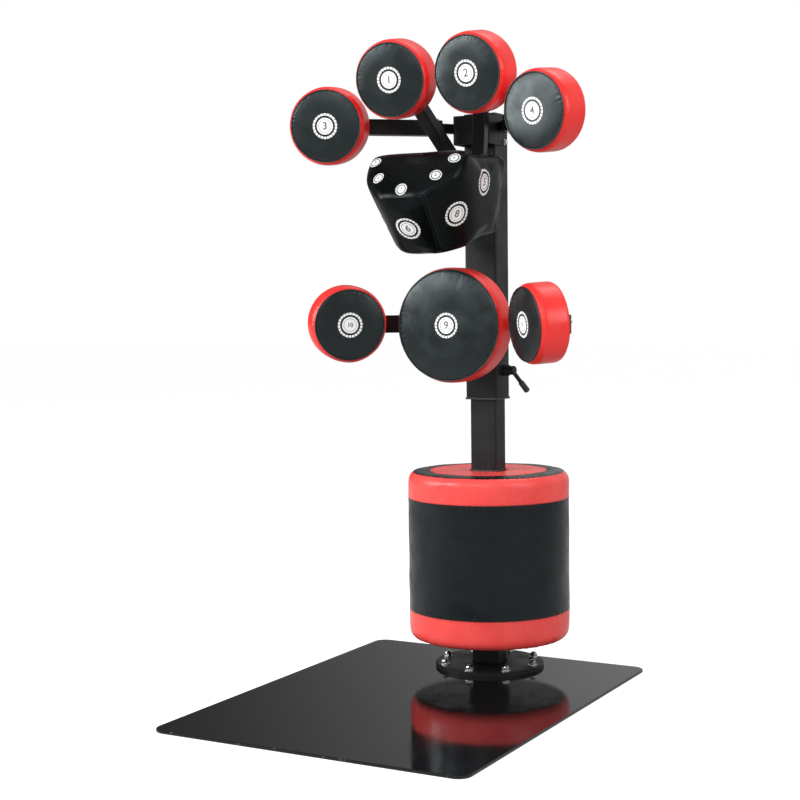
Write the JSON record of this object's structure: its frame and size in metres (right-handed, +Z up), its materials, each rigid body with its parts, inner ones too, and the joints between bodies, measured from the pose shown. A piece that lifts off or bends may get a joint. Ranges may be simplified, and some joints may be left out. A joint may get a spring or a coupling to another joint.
{
  "type": "boxing training tower",
  "caption": "Free-standing boxing training tower with a padded kick drum, a height-adjustable mast, a faceted uppercut pad and round punch pads on sprung arms.",
  "frame": {"origin": "on the underside of the base plate, half-way along it and in the middle plane of the post and the pads", "axes": "+Z up along the post, -Y towards the boxer, +X to the boxer's side that carries the clamp lever"},
  "size_m": [0.904, 1.2435, 1.7952],
  "materials": {
    "gloss_black_steel": "gloss",
    "satin_black_steel": "satin",
    "chrome": "polished",
    "black_nylon": "satin",
    "rubber": "matte",
    "plywood": "matte",
    "card_tube": "matte",
    "red_vinyl": "satin",
    "black_vinyl": "satin"
  },
  "bodies": {
    "base": {"base_plate": "gloss_black_steel", "post_flange": "satin_black_steel", "flange_bolt_1": "chrome", "flange_bolt_2": "chrome", "flange_bolt_3": "chrome", "flange_bolt_4": "chrome", "flange_bolt_5": "chrome", "flange_bolt_6": "chrome", "flange_bolt_7": "chrome", "flange_bolt_8": "chrome", "lower_post": "satin_black_steel", "post_guide_bush": "black_nylon", "drum_support_collar": "satin_black_steel", "drum_board_bottom": "plywood", "drum_board_top": "plywood", "drum_core_tube": "card_tube", "drum_pad": "red_vinyl"},
    "mast": {"mast_tube": "satin_black_steel", "mast_guide_bush": "black_nylon", "mast_cap": "black_nylon", "head_bracket": "satin_black_steel", "mid_bracket": "satin_black_steel", "inner_hinge_block": "satin_black_steel", "inner_hinge_pin": "chrome", "centre_board": "plywood", "centre_pad": "black_vinyl", "uppercut_pad": "black_vinyl", "uppercut_board": "plywood", "uppercut_bracket": "satin_black_steel", "clamp_shoe": "chrome", "outer_left_pin": "chrome", "outer_right_pin": "chrome", "side_left_pin": "chrome", "side_right_pin": "chrome"},
    "clamp": {"clamp_lever": "satin_black_steel"},
    "outer_left": {"outer_left_arm": "satin_black_steel", "outer_left_board": "plywood", "outer_left_pad": "black_vinyl", "outer_left_buffer": "rubber"},
    "outer_right": {"outer_right_arm": "satin_black_steel", "outer_right_board": "plywood", "outer_right_pad": "black_vinyl", "outer_right_buffer": "rubber"},
    "side_left": {"side_left_arm": "satin_black_steel", "side_left_board": "plywood", "side_left_pad": "black_vinyl", "side_left_buffer": "rubber"},
    "side_right": {"side_right_arm": "satin_black_steel", "side_right_board": "plywood", "side_right_pad": "black_vinyl", "side_right_buffer": "rubber"},
    "inner_left": {"inner_left_arm": "satin_black_steel", "inner_left_board": "plywood", "inner_left_pad": "black_vinyl"},
    "inner_right": {"inner_right_arm": "satin_black_steel", "inner_right_board": "plywood", "inner_right_pad": "black_vinyl"}
  },
  "joints": [
    {"name": "mast_height", "type": "slide", "parent": "base", "child": "mast", "axis": [0, 0, 1], "range_m": [-0.15, 0.2]},
    {"name": "clamp_turn", "type": "hinge", "parent": "mast", "child": "clamp", "pos_m": [0, 0.42, 0.8735], "axis": [1, 0, 0], "range_deg": [0, 180]},
    {"name": "outer_left_recoil", "type": "hinge", "parent": "mast", "child": "outer_left", "pos_m": [-0.116, 0.332, 1.5673], "axis": [0, 0, -1], "range_deg": [0, 12], "stiffness_Nm_per_rad": 60, "springref_deg": -2.86},
    {"name": "outer_right_recoil", "type": "hinge", "parent": "mast", "child": "outer_right", "pos_m": [0.116, 0.332, 1.5673], "axis": [0, 0, 1], "range_deg": [0, 12], "stiffness_Nm_per_rad": 60, "springref_deg": -2.86},
    {"name": "side_left_recoil", "type": "hinge", "parent": "mast", "child": "side_left", "pos_m": [-0.099, 0.384, 1.0104], "axis": [0, 0, -1], "range_deg": [0, 12], "stiffness_Nm_per_rad": 60, "springref_deg": -2.86},
    {"name": "side_right_recoil", "type": "hinge", "parent": "mast", "child": "side_right", "pos_m": [0.099, 0.384, 1.0104], "axis": [0, 0, 1], "range_deg": [0, 12], "stiffness_Nm_per_rad": 60, "springref_deg": -2.86},
    {"name": "inner_left_recoil", "type": "hinge", "parent": "mast", "child": "inner_left", "pos_m": [-0.03, 0.335, 1.406], "axis": [-1, 0, 0], "range_deg": [0, 10], "stiffness_Nm_per_rad": 90, "springref_deg": -5.73},
    {"name": "inner_right_recoil", "type": "hinge", "parent": "mast", "child": "inner_right", "pos_m": [0.03, 0.335, 1.406], "axis": [-1, 0, 0], "range_deg": [0, 10], "stiffness_Nm_per_rad": 90, "springref_deg": -5.73}
  ]
}
